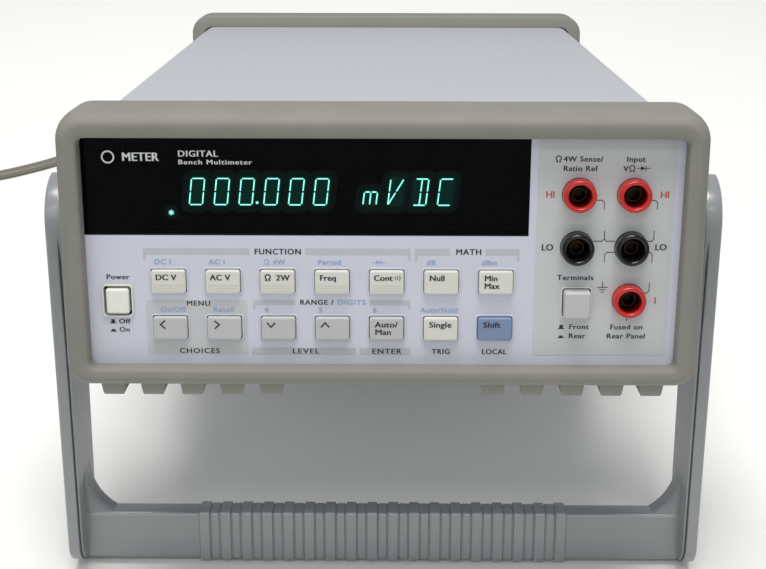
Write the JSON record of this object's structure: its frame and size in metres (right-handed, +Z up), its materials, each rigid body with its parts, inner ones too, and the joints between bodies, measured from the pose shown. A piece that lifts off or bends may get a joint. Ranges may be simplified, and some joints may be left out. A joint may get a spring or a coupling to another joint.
{
  "type": "bench multimeter",
  "caption": "Half-rack bench multimeter with display window, push keys, test sockets, bumpers and a swinging carrying handle, standing tilted on the handle, mains lead coiled beside it.",
  "frame": {"origin": "on the table under the middle of the instrument's own box, the mains lead not counted", "axes": "+Z up, +Y from the front panel to the rear, +X to the right as seen from the front; the instrument is tilted back by 16.3 degrees about X"},
  "size_m": [0.4785, 0.4493, 0.2035],
  "materials": {
    "bumper_rubber": "warm grey rubber with a fine matt grain",
    "cover_paint": "pale grey paint with a fine texture",
    "panel_plastic": "satin bluish white moulding",
    "window_plastic": "gloss black smoked window",
    "tube_glass": "clear glass",
    "key_cream": "satin cream",
    "key_grey": "satin warm grey",
    "key_blue": "satin grey blue",
    "handle_plastic": "satin cool grey",
    "black_plastic": "black",
    "red_plastic": "red",
    "circuit_board": "green solder mask",
    "mat_rubber": "dark grey rubber",
    "sheet_metal": "brushed",
    "bright_metal": "nickel plate",
    "transformer_steel": "steel laminations and wound copper",
    "lead_plastic": "beige grey vinyl"
  },
  "bodies": {
    "root": {"front_bumper": "bumper_rubber", "rear_bumper": "bumper_rubber", "cover_sleeve": "cover_paint", "cover_screw": "bright_metal", "front_panel": "panel_plastic", "display_window": "window_plastic", "display_tube": "tube_glass", "front_board": "circuit_board", "keypad_mat": "mat_rubber", "main_board": "circuit_board", "screening_can": "sheet_metal", "power_switch": "black_plastic", "terminals_switch": "black_plastic", "left_handle_pivot": "handle_plastic", "right_handle_pivot": "handle_plastic", "chassis_tray": "sheet_metal", "transformer": "transformer_steel", "rear_panel": "sheet_metal", "mains_inlet": "black_plastic", "current_fuse_holder": "black_plastic", "bus_connector": "black_plastic", "serial_connector": "sheet_metal", "trigger_jack": "bright_metal", "complete_jack": "bright_metal", "ground_screw": "bright_metal", "lead_connector": "lead_plastic", "mains_lead": "lead_plastic", "lead_coil": "lead_plastic", "mains_plug": "lead_plastic", "front_socket_sense_hi": "red_plastic", "rear_socket_sense_hi": "red_plastic", "front_socket_input_hi": "red_plastic", "rear_socket_input_hi": "red_plastic", "front_socket_sense_lo": "black_plastic", "rear_socket_sense_lo": "black_plastic", "front_socket_input_lo": "black_plastic", "rear_socket_input_lo": "black_plastic", "front_socket_current": "red_plastic", "rear_socket_current": "red_plastic"},
    "handle": {"handle": "handle_plastic"},
    "power_button": {"power_button": "key_cream", "power_push_rod": "black_plastic"},
    "terminals_button": {"terminals_button": "key_cream", "terminals_push_rod": "black_plastic"},
    "line_fuse_drawer": {"line_fuse_drawer": "black_plastic"},
    "current_fuse_cap": {"current_fuse_cap": "black_plastic"},
    "key_dc_volts": {"key_dc_volts": "key_cream"},
    "key_ac_volts": {"key_ac_volts": "key_cream"},
    "key_ohms": {"key_ohms": "key_cream"},
    "key_freq": {"key_freq": "key_cream"},
    "key_cont": {"key_cont": "key_cream"},
    "key_null": {"key_null": "key_cream"},
    "key_min_max": {"key_min_max": "key_cream"},
    "key_left": {"key_left": "key_grey"},
    "key_right": {"key_right": "key_grey"},
    "key_down": {"key_down": "key_grey"},
    "key_up": {"key_up": "key_grey"},
    "key_auto_man": {"key_auto_man": "key_grey"},
    "key_single": {"key_single": "key_cream"},
    "key_shift": {"key_shift": "key_blue"}
  },
  "joints": [
    {"name": "handle_swing", "type": "hinge", "parent": "root", "child": "handle", "pos_m": [0, -0.12216, 0.13895], "axis": [1, 0, 0], "range_deg": [-240, 60]},
    {"name": "key_dc_volts_press", "type": "slide", "parent": "root", "child": "key_dc_volts", "axis": [0, 0.9597, -0.281], "range_m": [0, 0.0015], "stiffness_N_per_m": 400},
    {"name": "key_ac_volts_press", "type": "slide", "parent": "root", "child": "key_ac_volts", "axis": [0, 0.9597, -0.281], "range_m": [0, 0.0015], "stiffness_N_per_m": 400},
    {"name": "key_ohms_press", "type": "slide", "parent": "root", "child": "key_ohms", "axis": [0, 0.9597, -0.281], "range_m": [0, 0.0015], "stiffness_N_per_m": 400},
    {"name": "key_freq_press", "type": "slide", "parent": "root", "child": "key_freq", "axis": [0, 0.9597, -0.281], "range_m": [0, 0.0015], "stiffness_N_per_m": 400},
    {"name": "key_cont_press", "type": "slide", "parent": "root", "child": "key_cont", "axis": [0, 0.9597, -0.281], "range_m": [0, 0.0015], "stiffness_N_per_m": 400},
    {"name": "key_null_press", "type": "slide", "parent": "root", "child": "key_null", "axis": [0, 0.9597, -0.281], "range_m": [0, 0.0015], "stiffness_N_per_m": 400},
    {"name": "key_min_max_press", "type": "slide", "parent": "root", "child": "key_min_max", "axis": [0, 0.9597, -0.281], "range_m": [0, 0.0015], "stiffness_N_per_m": 400},
    {"name": "key_left_press", "type": "slide", "parent": "root", "child": "key_left", "axis": [0, 0.9597, -0.281], "range_m": [0, 0.0015], "stiffness_N_per_m": 400},
    {"name": "key_right_press", "type": "slide", "parent": "root", "child": "key_right", "axis": [0, 0.9597, -0.281], "range_m": [0, 0.0015], "stiffness_N_per_m": 400},
    {"name": "key_down_press", "type": "slide", "parent": "root", "child": "key_down", "axis": [0, 0.9597, -0.281], "range_m": [0, 0.0015], "stiffness_N_per_m": 400},
    {"name": "key_up_press", "type": "slide", "parent": "root", "child": "key_up", "axis": [0, 0.9597, -0.281], "range_m": [0, 0.0015], "stiffness_N_per_m": 400},
    {"name": "key_auto_man_press", "type": "slide", "parent": "root", "child": "key_auto_man", "axis": [0, 0.9597, -0.281], "range_m": [0, 0.0015], "stiffness_N_per_m": 400},
    {"name": "key_single_press", "type": "slide", "parent": "root", "child": "key_single", "axis": [0, 0.9597, -0.281], "range_m": [0, 0.0015], "stiffness_N_per_m": 400},
    {"name": "key_shift_press", "type": "slide", "parent": "root", "child": "key_shift", "axis": [0, 0.9597, -0.281], "range_m": [0, 0.0015], "stiffness_N_per_m": 400},
    {"name": "power_press", "type": "slide", "parent": "root", "child": "power_button", "axis": [0, 0.9597, -0.281], "range_m": [-0.004, 0.0005]},
    {"name": "terminals_press", "type": "slide", "parent": "root", "child": "terminals_button", "axis": [0, 0.9597, -0.281], "range_m": [0, 0.004]},
    {"name": "fuse_drawer_pull", "type": "slide", "parent": "root", "child": "line_fuse_drawer", "axis": [0, 0.9597, -0.281], "range_m": [0, 0.02]},
    {"name": "fuse_cap_turn", "type": "hinge", "parent": "root", "child": "current_fuse_cap", "pos_m": [0.055, 0.15606, 0.03222], "axis": [0, 0.9597, -0.281], "range_deg": [0, 45]}
  ]
}
